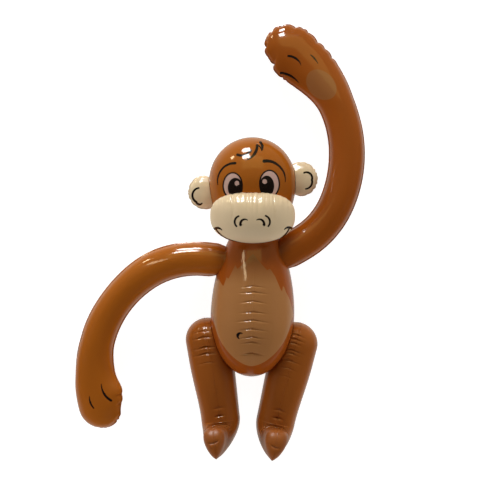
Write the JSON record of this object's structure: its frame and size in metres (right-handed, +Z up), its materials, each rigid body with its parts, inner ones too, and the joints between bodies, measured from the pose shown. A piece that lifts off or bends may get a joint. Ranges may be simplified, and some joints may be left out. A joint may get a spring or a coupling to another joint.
{
  "type": "inflatable monkey",
  "caption": "Inflated vinyl toy monkey lying on its back, one long curved arm raised and one lowered, with round muzzle, ears, short legs and a stem valve on the back.",
  "frame": {"origin": "middle of the flat spot on the torso's back, on the surface that the toy lies on", "axes": "+Z up from the surface, out of the belly and face; +Y from the feet to the head; +X towards the toy's own left, the side of its raised arm"},
  "size_m": [0.4128, 0.6157, 0.131],
  "materials": {
    "brown_vinyl": "glossy vinyl film",
    "cream_vinyl": "glossy vinyl film",
    "valve_vinyl": "soft clear vinyl"
  },
  "bodies": {
    "root": {"torso": "brown_vinyl", "head": "brown_vinyl", "muzzle": "cream_vinyl", "left_ear": "cream_vinyl", "right_ear": "cream_vinyl", "left_arm": "brown_vinyl", "right_arm": "brown_vinyl", "left_leg": "brown_vinyl", "right_leg": "brown_vinyl", "air_valve": "valve_vinyl"}
  },
  "joints": []
}
